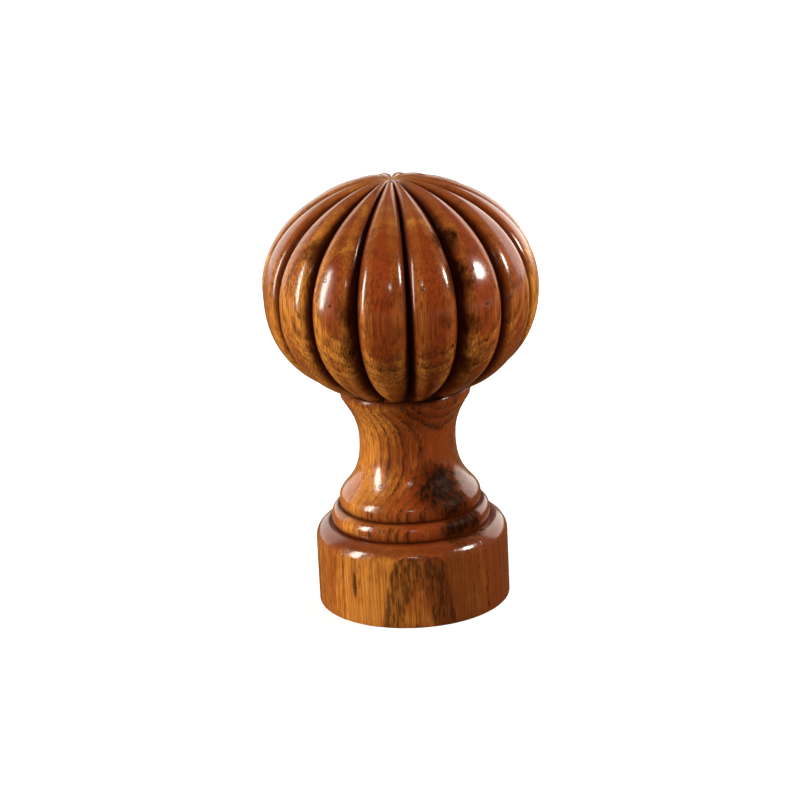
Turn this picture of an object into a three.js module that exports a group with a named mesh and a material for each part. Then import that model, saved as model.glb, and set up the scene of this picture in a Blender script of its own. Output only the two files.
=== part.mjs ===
// A newel post cap: a ball carved with upright reeds on a waisted neck and a round base, turned from
// one piece of oak. Millimetres, +Z up. The axis of the turning is Z and the underside lies on Z = 0.
// A profile is turned on the axis first, and then the grooves between the reeds are cut into the ball.
import * as THREE from 'three';

// Base: a drum with a rounded shoulder.
const baseRadius = 42.6;
const baseEdgeBreak = 0.5;
const drumHeight = 29.0;
const shoulderRise = 7.2;
const shoulderLedge = 1.0;

// Bead on the shoulder.
const beadRadius = 35.1;
const beadUndercut = 0.6;
const beadUndercutRise = 3.2;
const beadRollRise = 4.5;
const beadLedge = 0.6;

// Lip at the foot of the neck.
const lipRadius = 31.4;
const lipUndercut = 0.8;
const lipUndercutRise = 3.4;

// Neck: an ogee from the lip to the waist, and a hollow from the waist up to the collar.
const flareRadius = 26.6;
const flareRise = 7.9;
const flareSlopeDeg = 54;
const flareRoundLength = 3.3;
const flareHollowLength = 4.8;
const waistRadius = 21.3;
const waistRise = 18.3;
const waistStraightLength = 10.2;
const collarRadius = 28.4;
const collarSpreadRise = 20.6;
const collarSpreadOut = 3.4;
const collarSpreadUp = 5.7;

// Collar: a small rounded edge under the ball.
const collarSwell = 0.4;
const collarEdgeRise = 1.8;
const collarRollRise = 2.3;
const ballSeatRadius = 27.8;

// Ball: two half ovals of one radius. A fullness of 2 is an ellipse, and more is squarer.
const ballRadius = 60.2;
const ballTopRise = 48.2;
const ballTopFullness = 2.0;
const ballUnderRise = 48.9;
const ballUnderFullness = 2.2;

// Reeds: flat faces with rounded edges, and a deep groove between each two. The depth, the reach to
// each side and the squareness of the edge are those on the ball's widest round. Above and below it
// they follow the ball's radius to the power of the tapers, and narrow reeds keep their crests.
const reedCount = 16;
const grooveDepth = 11.5;
const grooveReach = 11.0;
const wideSquareness = 3.6;
const tipSquareness = 2.2;
const depthTaperTop = 0.8;
const reachTaperTop = 0.3;
const depthTaperUnder = 0.35;
const reachTaperUnder = 0.1;
const crestKept = 0.8;

// Dimple where the grooves meet at the pole.
const dimpleDepth = 1.2;
const dimpleRadius = 5.0;

// Facets.
const rollFacets = 4;
const undercutFacets = 2;
const flareRoundFacets = 3;
const hollowFacets = 4;
const collarRollFacets = 2;
const facetsPerReed = 6;
const ballUnderFacets = 9;
const ballTopFacets = 11;

const columnCount = reedCount * facetsPerReed;
const reedPitch = (2 * Math.PI) / reedCount;

// Points along a curve, without its first point, which the curve before it has already given.
function along(curve, facets) {
  return curve.getPoints(facets).slice(1);
}

function point(radius, height) {
  return new THREE.Vector2(radius, height);
}

// A quarter of an ellipse that leaves upright and ends level, as on top of a rounded shoulder.
function rollIn(from, to, facets) {
  const centre = point(to.x, from.y);
  return along(
    new THREE.EllipseCurve(centre.x, centre.y, from.x - to.x, to.y - from.y, 0, Math.PI / 2),
    facets
  );
}

// The same quarter the other way up: it leaves level and ends upright, as under a bead.
function rollOut(from, to, facets) {
  const centre = point(from.x, to.y);
  return along(
    new THREE.EllipseCurve(centre.x, centre.y, to.x - from.x, to.y - from.y, -Math.PI / 2, 0),
    facets
  );
}

function sweep(from, fromHandle, toHandle, to, facets) {
  return along(new THREE.CubicBezierCurve(from, fromHandle, toHandle, to), facets);
}

// Heights of the turned body, each on top of the one below.
const shoulderTop = drumHeight + shoulderRise;
const beadWidest = shoulderTop + beadUndercutRise;
const beadTop = beadWidest + beadRollRise;
const lipWidest = beadTop + lipUndercutRise;
const flareHeight = lipWidest + flareRise;
const waistHeight = flareHeight + waistRise;
const collarFoot = waistHeight + collarSpreadRise;
const collarWidest = collarFoot + collarEdgeRise;
const collarTop = collarWidest + collarRollRise;

function basePoints() {
  const sideFoot = point(baseRadius, baseEdgeBreak);
  const sideTop = point(baseRadius, drumHeight);
  const shoulderEnd = point(beadRadius + shoulderLedge, shoulderTop);
  return [
    point(0, 0),
    point(baseRadius - baseEdgeBreak, 0),
    sideFoot,
    sideTop,
    ...rollIn(sideTop, shoulderEnd, rollFacets),
  ];
}

function beadPoints() {
  const seat = point(beadRadius - beadUndercut, shoulderTop);
  const widest = point(beadRadius, beadWidest);
  const rollEnd = point(lipRadius + beadLedge, beadTop);
  return [
    seat,
    ...rollOut(seat, widest, undercutFacets),
    ...rollIn(widest, rollEnd, rollFacets),
  ];
}

function neckPoints() {
  const seat = point(lipRadius - lipUndercut, beadTop);
  const lip = point(lipRadius, lipWidest);
  const turn = point(flareRadius, flareHeight);
  const slope = THREE.MathUtils.degToRad(flareSlopeDeg);
  const uphill = point(-Math.cos(slope), Math.sin(slope));
  const belowTurn = turn.clone().addScaledVector(uphill, -flareRoundLength);
  const aboveTurn = turn.clone().addScaledVector(uphill, flareHollowLength);
  const waist = point(waistRadius, waistHeight);
  const foot = point(collarRadius, collarFoot);
  return [
    seat,
    ...rollOut(seat, lip, undercutFacets),
    ...sweep(lip, point(lip.x, lip.y + flareRoundLength), belowTurn, turn, flareRoundFacets),
    ...sweep(
      turn,
      aboveTurn,
      point(waist.x, waist.y - waistStraightLength),
      waist,
      hollowFacets
    ),
    ...sweep(
      waist,
      point(waist.x, waist.y + waistStraightLength),
      point(foot.x - collarSpreadOut, foot.y - collarSpreadUp),
      foot,
      hollowFacets
    ),
  ];
}

function collarPoints() {
  const widest = point(collarRadius + collarSwell, collarWidest);
  const rollEnd = point(ballSeatRadius, collarTop);
  return [widest, ...rollIn(widest, rollEnd, collarRollFacets)];
}

// The ball's outline before carving: (r / radius)^fullness + (height / rise)^fullness = 1, with the
// height measured from the ball's middle, downwards for its lower half.
const upperHalf = { rise: ballTopRise, fullness: ballTopFullness };
const lowerHalf = { rise: ballUnderRise, fullness: ballUnderFullness };

function ballOutline(angle, { rise, fullness }) {
  const power = 2 / fullness;
  return point(
    ballRadius * Math.max(Math.cos(angle), 0) ** power,
    rise * Math.sign(angle) * Math.abs(Math.sin(angle)) ** power
  );
}

// The angle at which the lower half reaches the radius of its seat on the collar.
const seatAngle = -Math.acos((ballSeatRadius / ballRadius) ** (ballUnderFullness / 2));
const ballMiddle = collarTop - ballOutline(seatAngle, lowerHalf).y;

function ballPoints() {
  const points = [];
  for (let step = 1; step <= ballUnderFacets; step += 1) {
    points.push(ballOutline(seatAngle * (1 - step / ballUnderFacets), lowerHalf));
  }
  for (let step = 1; step < ballTopFacets; step += 1) {
    points.push(ballOutline(((Math.PI / 2) * step) / ballTopFacets, upperHalf));
  }
  points.push(point(0, ballTopRise));
  return points.map((p) => point(p.x, p.y + ballMiddle));
}

// The outline's outward normal, in radius and height.
function outlineNormal(p) {
  const height = p.y - ballMiddle;
  const { rise, fullness } = height < 0 ? lowerHalf : upperHalf;
  const inRadius = (p.x / ballRadius) ** (fullness - 1) / ballRadius;
  const inHeight = (Math.abs(height) / rise) ** (fullness - 1) / rise;
  return point(inRadius, Math.sign(height) * inHeight).normalize();
}

// Where a column of facets stands: across is -1 and 1 in the grooves beside a reed and 0 on its
// middle, with the columns closer together towards the grooves.
function columnPlace(column) {
  const reed = Math.floor(column / facetsPerReed);
  const across = Math.sin(Math.PI * ((column % facetsPerReed) / facetsPerReed - 0.5));
  return { across, azimuth: reedPitch * (reed + 0.5 + across / 2) };
}

// Depth of one groove at a distance from its middle: its wall is upright in the middle and level at
// the groove's reach, as the quarter of a squared circle.
function grooveCut(distance, share, below) {
  const depth = grooveDepth * share ** (below ? depthTaperUnder : depthTaperTop);
  const reach = grooveReach * share ** (below ? reachTaperUnder : reachTaperTop);
  const squareness = tipSquareness + (wideSquareness - tipSquareness) * share;
  const inward = Math.max(1 - distance / reach, 0);
  return depth * (1 - (1 - inward ** squareness) ** (1 / squareness));
}

// How far the surface lies below the outline: the cuts of the two grooves beside a reed joined
// smoothly, less the share that the reed's crest keeps.
function carvedDepth(across, p) {
  if (p.x === 0) return 0;
  const share = p.x / ballRadius;
  const below = p.y < ballMiddle;
  const halfPitch = (reedPitch * p.x) / 2;
  const left = grooveCut(halfPitch * (1 + across), share, below);
  const right = grooveCut(halfPitch * (1 - across), share, below);
  const crest = Math.cbrt(2) * grooveCut(halfPitch, share, below);
  return Math.cbrt(left ** 3 + right ** 3) - crestKept * crest;
}

function dimpleDrop(radius) {
  return dimpleDepth * Math.exp(-((radius / dimpleRadius) ** 2));
}

function capGeometry() {
  const body = [...basePoints(), ...beadPoints(), ...neckPoints(), ...collarPoints()];
  const profile = [...body, ...ballPoints()];
  const geometry = new THREE.LatheGeometry(profile, columnCount);
  const position = geometry.attributes.position;
  for (let column = 0; column <= columnCount; column += 1) {
    const { across, azimuth } = columnPlace(column % columnCount);
    profile.forEach((p, row) => {
      const carved = p.clone();
      if (row >= body.length) {
        carved.addScaledVector(outlineNormal(p), -carvedDepth(across, p));
        carved.y -= dimpleDrop(p.x);
      }
      position.setXYZ(
        column * profile.length + row,
        carved.x * Math.sin(azimuth),
        -carved.x * Math.cos(azimuth),
        carved.y
      );
    });
  }
  geometry.computeVertexNormals();
  return geometry;
}

const oak = new THREE.MeshStandardMaterial({ color: 0x8a4a1c, roughness: 0.22, metalness: 0 });
const cap = new THREE.Mesh(capGeometry(), oak);
cap.name = 'newel_cap';

const newelCap = new THREE.Group();
newelCap.add(cap);

export default newelCap;
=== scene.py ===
"""Looks of a newel post cap: a ball carved with upright reeds on a turned neck and base, in oak.

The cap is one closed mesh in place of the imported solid. A profile is turned on the Z axis, grooves
are cut into its ball, and a solid pattern of growth rings, pores and stain runs through it under a
varnish.
Sizes are in millimetres and become metres when the mesh is written.
"""

from __future__ import annotations

import logging
import math
from dataclasses import dataclass, field
from enum import Enum

import bpy
import numpy as np
from mathutils import Matrix, Vector


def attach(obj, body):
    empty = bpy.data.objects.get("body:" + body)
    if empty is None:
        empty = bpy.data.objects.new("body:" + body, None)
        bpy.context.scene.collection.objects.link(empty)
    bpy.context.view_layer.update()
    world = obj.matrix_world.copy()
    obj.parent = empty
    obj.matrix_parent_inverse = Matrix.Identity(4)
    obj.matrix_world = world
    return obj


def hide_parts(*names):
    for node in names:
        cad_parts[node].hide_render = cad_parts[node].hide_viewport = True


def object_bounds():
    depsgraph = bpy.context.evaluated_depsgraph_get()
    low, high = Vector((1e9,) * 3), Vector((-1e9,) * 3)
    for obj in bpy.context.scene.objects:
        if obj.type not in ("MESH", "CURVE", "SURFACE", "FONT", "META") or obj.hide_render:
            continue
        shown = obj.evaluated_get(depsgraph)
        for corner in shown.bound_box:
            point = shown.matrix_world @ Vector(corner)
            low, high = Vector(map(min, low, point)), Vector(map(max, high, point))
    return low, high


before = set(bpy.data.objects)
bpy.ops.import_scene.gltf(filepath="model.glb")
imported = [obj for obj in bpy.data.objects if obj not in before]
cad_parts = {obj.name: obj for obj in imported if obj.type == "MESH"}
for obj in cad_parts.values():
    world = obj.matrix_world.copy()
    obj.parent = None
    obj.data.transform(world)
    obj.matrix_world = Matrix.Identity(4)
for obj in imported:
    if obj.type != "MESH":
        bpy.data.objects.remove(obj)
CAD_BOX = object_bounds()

LOG = logging.getLogger("newel_cap")
METRES_PER_MM = 0.001
MM_PER_METRE = 1000.0
BODY = "root"
NODE = "newel_cap"
SLOT = "varnished_oak"
CAMERA_AZIMUTH_DEG = -2.8

Colour = tuple[float, float, float]
Rise = tuple[float, ...]
Socket = bpy.types.NodeSocket


class Turn(Enum):
    """Which way a quarter round bends, from its lower end to its upper end."""

    ROLL_IN = "leaves upright and ends level, as on a shoulder"
    ROLL_OUT = "leaves level and ends upright, as under a bead"


def point(radius: float, height: float) -> np.ndarray:
    """Returns one point of a profile, as radius and height."""
    return np.array([radius, height], dtype=float)


def quarter(start: np.ndarray, end: np.ndarray, turn: Turn, count: int) -> np.ndarray:
    """A quarter of an ellipse between two points of a profile.

    The ellipse stands on the corner of the box between the points: for ROLL_IN the radius follows
    the cosine and the height the sine of an angle from 0 to 90 degrees, and for ROLL_OUT the other
    way round.

    Args:
        start: Lower end, as radius and height.
        end: Upper end.
        turn: Which way the quarter bends.
        count: Number of points after the start.

    Returns:
        The points after the start, one per row.
    """
    angle = np.linspace(0, np.pi / 2, count + 1)[1:, None]
    span = end - start
    if turn is Turn.ROLL_IN:
        share = np.concatenate([1 - np.cos(angle), np.sin(angle)], axis=1)
    else:
        share = np.concatenate([np.sin(angle), 1 - np.cos(angle)], axis=1)
    return start + span * share


def sweep(
    start: np.ndarray, start_pull: np.ndarray, end_pull: np.ndarray, end: np.ndarray, count: int
) -> np.ndarray:
    """A cubic Bezier curve between two points of a profile.

    Args:
        start: First point.
        start_pull: Handle of the first point.
        end_pull: Handle of the last point.
        end: Last point.
        count: Number of points after the start.

    Returns:
        The points after the start, one per row.
    """
    t = np.linspace(0, 1, count + 1)[1:, None]
    near = (1 - t) ** 3 * start + 3 * (1 - t) ** 2 * t * start_pull
    far = 3 * (1 - t) * t**2 * end_pull + t**3 * end
    return near + far


def straight(start: np.ndarray, end: np.ndarray, count: int) -> np.ndarray:
    """Returns evenly spaced points on a line, without its start."""
    t = np.linspace(0, 1, count + 1)[1:, None]
    return start + (end - start) * t


def smoothstep(low: float, high: float, value: np.ndarray) -> np.ndarray:
    """Returns 0 below low, 1 above high and a smooth cubic between them."""
    t = np.clip((value - low) / (high - low), 0, 1)
    return t * t * (3 - 2 * t)


@dataclass
class TurnedBody:
    """The turned part below the ball: base, bead, lip, neck and collar. Millimetres."""

    base_radius: float = 42.6
    base_edge_break: float = 0.5
    drum_height: float = 29.0
    shoulder_rise: float = 7.2
    shoulder_ledge: float = 1.0
    bead_radius: float = 35.1
    bead_undercut: float = 0.6
    bead_undercut_rise: float = 3.2
    bead_roll_rise: float = 4.5
    bead_ledge: float = 0.6
    lip_radius: float = 31.4
    lip_undercut: float = 0.8
    lip_undercut_rise: float = 3.4
    flare_radius: float = 26.6
    flare_rise: float = 7.9
    flare_slope_deg: float = 54.0
    flare_round_length: float = 3.3
    flare_hollow_length: float = 4.8
    waist_radius: float = 21.3
    waist_rise: float = 18.3
    waist_straight_length: float = 10.2
    collar_radius: float = 28.4
    collar_spread_rise: float = 20.6
    collar_spread_out: float = 3.4
    collar_spread_up: float = 5.7
    collar_swell: float = 0.4
    collar_edge_rise: float = 1.8
    collar_roll_rise: float = 2.3
    ball_seat_radius: float = 27.8
    flat_rows: int = 3
    edge_break_rows: int = 3
    side_rows: int = 10
    shoulder_rows: int = 16
    undercut_rows: int = 6
    bead_rows: int = 14
    flare_rows: int = 14
    hollow_rows: int = 22
    collar_side_rows: int = 3
    collar_rows: int = 8

    @property
    def shoulder_top(self) -> float:
        """Height of the ledge that the bead stands on."""
        return self.drum_height + self.shoulder_rise

    @property
    def bead_top(self) -> float:
        """Height of the ledge that the lip stands on."""
        return self.shoulder_top + self.bead_undercut_rise + self.bead_roll_rise

    @property
    def waist_height(self) -> float:
        """Height of the neck's narrowest place."""
        return self.bead_top + self.lip_undercut_rise + self.flare_rise + self.waist_rise

    @property
    def collar_top(self) -> float:
        """Height of the seat under the ball."""
        foot = self.waist_height + self.collar_spread_rise
        return foot + self.collar_edge_rise + self.collar_roll_rise

    def base(self) -> np.ndarray:
        """The underside, the drum and its rounded shoulder.

        Returns:
            Points of the profile, from the axis outwards and up.
        """
        flat = point(self.base_radius - self.base_edge_break, 0)
        foot = point(self.base_radius, self.base_edge_break)
        side = point(self.base_radius, self.drum_height)
        ledge = point(self.bead_radius + self.shoulder_ledge, self.shoulder_top)
        return np.concatenate(
            [
                straight(point(0, 0), flat, self.flat_rows),
                quarter(flat, foot, Turn.ROLL_OUT, self.edge_break_rows),
                straight(foot, side, self.side_rows),
                quarter(side, ledge, Turn.ROLL_IN, self.shoulder_rows),
            ]
        )

    def bead(self) -> np.ndarray:
        """The bead on the shoulder.

        Returns:
            Points of the profile, upwards.
        """
        seat = point(self.bead_radius - self.bead_undercut, self.shoulder_top)
        widest = point(self.bead_radius, self.shoulder_top + self.bead_undercut_rise)
        ledge = point(self.lip_radius + self.bead_ledge, self.bead_top)
        return np.concatenate(
            [
                seat[None],
                quarter(seat, widest, Turn.ROLL_OUT, self.undercut_rows),
                quarter(widest, ledge, Turn.ROLL_IN, self.bead_rows),
            ]
        )

    def neck(self) -> np.ndarray:
        """The lip, the ogee up to the waist and the hollow up to the collar.

        Returns:
            Points of the profile, upwards.
        """
        seat = point(self.lip_radius - self.lip_undercut, self.bead_top)
        lip = point(self.lip_radius, self.bead_top + self.lip_undercut_rise)
        bend = point(self.flare_radius, lip[1] + self.flare_rise)
        slope = math.radians(self.flare_slope_deg)
        uphill = point(-math.cos(slope), math.sin(slope))
        waist = point(self.waist_radius, self.waist_height)
        upright = point(0, self.waist_straight_length)
        foot = point(self.collar_radius, self.waist_height + self.collar_spread_rise)
        spread = point(self.collar_spread_out, self.collar_spread_up)
        round_pull = lip + point(0, self.flare_round_length)
        below = bend - uphill * self.flare_round_length
        above = bend + uphill * self.flare_hollow_length
        return np.concatenate(
            [
                seat[None],
                quarter(seat, lip, Turn.ROLL_OUT, self.undercut_rows),
                sweep(lip, round_pull, below, bend, self.flare_rows),
                sweep(bend, above, waist - upright, waist, self.hollow_rows),
                sweep(waist, waist + upright, foot - spread, foot, self.hollow_rows),
            ]
        )

    def collar(self) -> np.ndarray:
        """The collar's rounded edge, up to the seat under the ball.

        Returns:
            Points of the profile, upwards.
        """
        foot = point(self.collar_radius, self.waist_height + self.collar_spread_rise)
        widest = foot + point(self.collar_swell, self.collar_edge_rise)
        seat = point(self.ball_seat_radius, self.collar_top)
        return np.concatenate(
            [
                straight(foot, widest, self.collar_side_rows),
                quarter(widest, seat, Turn.ROLL_IN, self.collar_rows),
            ]
        )

    def profile(self) -> np.ndarray:
        """Returns the whole outline from the underside to the collar's top."""
        return np.concatenate([self.base(), self.bead(), self.neck(), self.collar()])

    def shaded_corners(self) -> np.ndarray:
        """Returns the three inner corners, where shade is painted darker into the colour."""
        return np.array(
            [
                [self.bead_radius, self.shoulder_top],
                [self.lip_radius, self.bead_top],
                [self.ball_seat_radius, self.collar_top],
            ]
        )


@dataclass(frozen=True)
class Groove:
    """How one hand-cut groove strays from its even place, and how wide its upper end was cut."""

    turn_deg: float = 0.0
    sideways_at_pole: float = 0.0
    extra_width_at_pole: float = 0.0


@dataclass
class ReededBall:
    """The carved ball. Millimetres, with heights from its own middle."""

    radius: float = 60.0
    top_rise: float = 48.15
    top_fullness: float = 2.0
    under_rise: float = 48.9
    under_fullness: float = 2.2
    seat_radius: float = 27.8
    reed_count: int = 16
    groove_depth: float = 11.5
    groove_reach: float = 11.0
    wide_squareness: float = 3.6
    tip_squareness: float = 2.2
    depth_taper_top: float = 0.8
    reach_taper_top: float = 0.3
    depth_taper_under: float = 0.35
    reach_taper_under: float = 0.1
    crest_kept: float = 0.8
    dimple_depth: float = 1.2
    dimple_radius: float = 5.0
    pole_shift: tuple[float, float] = (-1.8, 0.0)
    # Carving depths over which the painted shade in the grooves rises.
    hollow_depths: tuple[float, float] = (0.25, 3.0)
    edge_starts: tuple[float, float] = (0.01, 0.12)
    edge_ends: tuple[float, float] = (0.8, 2.0)
    turned_shares: tuple[float, float] = (0.1, 0.6)
    aside_shares: tuple[float, float] = (0.04, 0.3)
    chance_turn_deg: float = 0.5
    chance_sideways: float = 0.4
    chance_width: tuple[float, float] = (-0.1, 0.3)
    columns_per_reed: int = 22
    under_rows: int = 50
    top_rows: int = 62
    seed: int = 7
    front_grooves: dict[int, Groove] = field(
        default_factory=lambda: {
            0: Groove(0.3, 0.0, 0.0),
            1: Groove(-0.5, -1.6, 0.5),
            2: Groove(-0.1, 0.4, -0.1),
            3: Groove(0.3, 0.4, 0.0),
            -1: Groove(0.1, 0.0, -0.1),
            -2: Groove(0.8, 1.4, 0.3),
            -3: Groove(1.0, 0.4, 0.3),
            -4: Groove(1.2, 0.0, 0.0),
        }
    )

    def rise_and_fullness(self, height: np.ndarray) -> tuple[np.ndarray, np.ndarray]:
        """Which half oval each height belongs to.

        Args:
            height: Heights from the ball's middle, or angles with the same signs.

        Returns:
            The rise and the fullness of the half oval, one of each for every height.
        """
        under = height < 0
        rise = np.where(under, self.under_rise, self.top_rise)
        return rise, np.where(under, self.under_fullness, self.top_fullness)

    def outline(self) -> np.ndarray:
        """The ball's profile before carving, from just above its seat to just below its pole.

        It is (radius / widest radius) ^ fullness + (height / rise) ^ fullness = 1, stepped evenly
        in angle: the radius follows the cosine and the height the sine, each to the power of 2
        over the fullness.

        Returns:
            Points as radius and height, one per row.
        """
        seat_angle = math.acos((self.seat_radius / self.radius) ** (self.under_fullness / 2))
        under = np.linspace(-seat_angle, 0, self.under_rows + 1)[1:]
        top = np.linspace(0, np.pi / 2, self.top_rows + 1)[1:-1]
        angle = np.concatenate([under, top])
        rise, fullness = self.rise_and_fullness(angle)
        radius = self.radius * np.cos(angle) ** (2 / fullness)
        height = rise * np.sign(angle) * np.abs(np.sin(angle)) ** (2 / fullness)
        return np.stack([radius, height], axis=1)

    def seat_drop(self) -> float:
        """Returns how far the seat lies below the ball's middle."""
        share = 1 - (self.seat_radius / self.radius) ** self.under_fullness
        return self.under_rise * share ** (1 / self.under_fullness)

    def normals(self, outline: np.ndarray) -> np.ndarray:
        """Outward normals of the ball's outline, from the slopes of its formula.

        Args:
            outline: Points as radius and height, one per row.

        Returns:
            Unit vectors as radius and height, one per row.
        """
        rise, fullness = self.rise_and_fullness(outline[:, 1])
        out = (outline[:, 0] / self.radius) ** (fullness - 1) / self.radius
        up = np.sign(outline[:, 1]) * (np.abs(outline[:, 1]) / rise) ** (fullness - 1) / rise
        return np.stack([out, up], axis=1) / np.hypot(out, up)[:, None]

    def grooves(self) -> list[Groove]:
        """The grooves as they were cut: those out of sight stray by chance.

        Returns:
            The grooves in order of azimuth, from 0.
        """
        draw = np.random.default_rng(self.seed)
        chance = [
            Groove(turn, side, wide)
            for turn, side, wide in zip(
                draw.normal(0, self.chance_turn_deg, self.reed_count),
                draw.normal(0, self.chance_sideways, self.reed_count),
                draw.uniform(*self.chance_width, self.reed_count),
            )
        ]
        for number, groove in self.front_grooves.items():
            chance[number % self.reed_count] = groove
        return chance

    def groove_azimuths(self, share: np.ndarray, radius: np.ndarray) -> np.ndarray:
        """Azimuth of every groove at every row, in radians from -Y towards +X.

        Grooves stand evenly round the axis. Each is turned by its own angle, and towards the pole
        it moves sideways by its own length, which is divided by the radius to give an angle.

        Args:
            share: Radius over the widest radius, one per row.
            radius: Radius of the outline, one per row.

        Returns:
            One row for each row of the outline and one column for each groove.
        """
        grooves = self.grooves()
        even = 2 * np.pi / self.reed_count * np.arange(self.reed_count)
        turn = np.radians([groove.turn_deg for groove in grooves])
        sideways = np.array([groove.sideways_at_pole for groove in grooves])
        aside = sideways * ((1 - share) * smoothstep(*self.aside_shares, share))[:, None]
        turned = turn * smoothstep(*self.turned_shares, share)[:, None]
        return even + turned + aside / radius[:, None]

    def columns(self) -> tuple[np.ndarray, np.ndarray]:
        """Where the columns of the mesh stand around the axis before the grooves stray.

        Returns:
            The place across each reed, -1 and 1 in the grooves and 0 on its middle, and the
            azimuth in radians from -Y towards +X. Columns crowd towards the grooves: the place
            across is the sine of an evenly stepped angle.
        """
        step = np.arange(self.columns_per_reed) / self.columns_per_reed
        across = np.tile(np.sin(np.pi * (step - 0.5)), self.reed_count)
        reed = np.repeat(np.arange(self.reed_count), self.columns_per_reed)
        return across, 2 * np.pi / self.reed_count * (reed + 0.5 + across / 2)

    def cut(
        self, distance: np.ndarray, depth: np.ndarray, reach: np.ndarray, power: np.ndarray
    ) -> np.ndarray:
        """Depth of one groove at a distance from its middle.

        It is depth x (1 - (1 - u ^ power) ^ (1 / power)), where u falls from 1 in the groove's
        middle to 0 at its reach: the quarter of a squared circle, upright in the middle and level
        at the reach.

        Args:
            distance: Distances from the groove's middle, along the surface.
            depth: Depth in the middle.
            reach: Distance at which the cut ends.
            power: How square the cut is.

        Returns:
            Depths, of the shape that the arguments give together.
        """
        inward = np.clip(1 - distance / reach, 0, 1)
        return depth * (1 - (1 - inward**power) ** (1 / power))

    def carving(self, outline: np.ndarray) -> tuple[np.ndarray, np.ndarray]:
        """How deep the surface lies below the outline, and the azimuth of every point.

        The cuts of the two grooves beside a reed are joined as (a ^ 3 + b ^ 3) ^ (1 / 3). A share
        of the least cut on each reed is given back, so that narrow reeds keep their crests.

        Args:
            outline: Points as radius and height, one per row.

        Returns:
            Depths and azimuths in radians, with a row for each point of the outline and a column
            for each column of the mesh.
        """
        rows = len(outline)
        share = outline[:, 0] / self.radius
        under = outline[:, 1] < 0
        depth = share ** np.where(under, self.depth_taper_under, self.depth_taper_top)
        reach = share ** np.where(under, self.reach_taper_under, self.reach_taper_top)
        depth = (self.groove_depth * depth)[:, None, None]
        power = self.tip_squareness + (self.wide_squareness - self.tip_squareness) * share
        power = power[:, None, None]
        extra = np.array([groove.extra_width_at_pole for groove in self.grooves()])
        widths = (self.groove_reach * reach)[:, None] * (1 + extra * (1 - share)[:, None])
        middle = self.groove_azimuths(share, outline[:, 0])
        after = np.roll(middle, -1, axis=1)
        after[:, -1] += 2 * np.pi
        across, _ = self.columns()
        across = across.reshape(1, self.reed_count, self.columns_per_reed)
        azimuth = (middle + after)[..., None] / 2 + (after - middle)[..., None] / 2 * across
        radius = outline[:, :1, None]
        left = self.cut(radius * (azimuth - middle[..., None]), depth, widths[..., None], power)
        wide_after = np.roll(widths, -1, axis=1)[..., None]
        right = self.cut(radius * (after[..., None] - azimuth), depth, wide_after, power)
        both = (left**3 + right**3) ** (1 / 3)
        both = both - self.crest_kept * both.min(axis=2, keepdims=True)
        return both.reshape(rows, -1), azimuth.reshape(rows, -1)

    def carved(self) -> tuple[np.ndarray, dict[str, np.ndarray]]:
        """The reeded surface, row by row up the ball and column by column around it.

        Every point of the turned outline moves inwards along its normal by the carving's depth.
        Near the pole the whole pattern slides sideways over the outline, by the pole shift times
        (1 - share) ^ 3, and sinks into a small dimple that falls off as a bell curve.

        Returns:
            Points with heights from the ball's middle, and their named weights: the first is the
            depth of the carving as a share, which the material paints as shade in the grooves, and
            edge is 1 on the reeds' rounded edges.
        """
        outline = self.outline()
        normals = self.normals(outline)
        depth, azimuth = self.carving(outline)
        radius = outline[:, :1] - normals[:, :1] * depth
        height = outline[:, 1:] - normals[:, 1:] * depth
        share = outline[:, :1] / self.radius
        slide = np.where(outline[:, 1:] > 0, (1 - share) ** 3, 0)
        x = radius * np.sin(azimuth) + self.pole_shift[0] * slide
        y = -radius * np.cos(azimuth) + self.pole_shift[1] * slide
        height = height - self.dimple_depth * np.exp(-((outline[:, :1] / self.dimple_radius) ** 2))
        points = np.stack([x, y, np.broadcast_to(height, x.shape)], axis=2)
        # Weight of the painted shade in the grooves: the depth of the cut as a share.
        hollow = smoothstep(*self.hollow_depths, depth)
        edge = smoothstep(*self.edge_starts, depth) * (1 - smoothstep(*self.edge_ends, depth))
        return points, {"hollow": hollow, "edge": edge}


@dataclass(frozen=True)
class Blemish:
    """A small dark mark in the wood, placed on the surface. Millimetres and degrees."""

    azimuth_deg: float
    height: float
    surface_radius: float
    size: float
    stretch: float = 1.0

    def centre(self) -> tuple[float, float, float]:
        """Returns the mark's place."""
        turn = math.radians(self.azimuth_deg)
        return (
            self.surface_radius * math.sin(turn),
            -self.surface_radius * math.cos(turn),
            self.height,
        )


@dataclass(frozen=True)
class Stain:
    """A large dark blotch that runs through the wood. Millimetres and degrees."""

    azimuth_deg: float
    height: float
    from_axis: float
    size: float
    strength: float

    def centre(self) -> tuple[float, float, float]:
        """Returns the blotch's middle."""
        turn = math.radians(self.azimuth_deg)
        return (self.from_axis * math.sin(turn), -self.from_axis * math.cos(turn), self.height)


@dataclass(frozen=True)
class Ring:
    """One growth ring: the depth at which it starts and how it looks from there outwards.

    line is the darkness of its porous line, hold is the width at which the line stays so dark,
    fade is how far it then runs out, in millimetres, and body is the tone of the dense wood after
    it, 0 golden and 1 russet.
    """

    start: float
    line: float
    fade: float
    body: float
    hold: float = 0.0


@dataclass(frozen=True)
class GrainZone:
    """How the growth rings lie in one stretch of the height.

    The rings are cylinders round a pith far behind the surface. facing_deg is the way from the
    pith to the surface, lean is how much deeper a ring lies for each millimetre of height, and
    ripple is how far the rings waver.
    """

    facing_deg: float
    lean: float
    middle_height: float
    rings: tuple[Ring, ...]
    ripple: float
    pith_distance: float = 118.0


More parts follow.
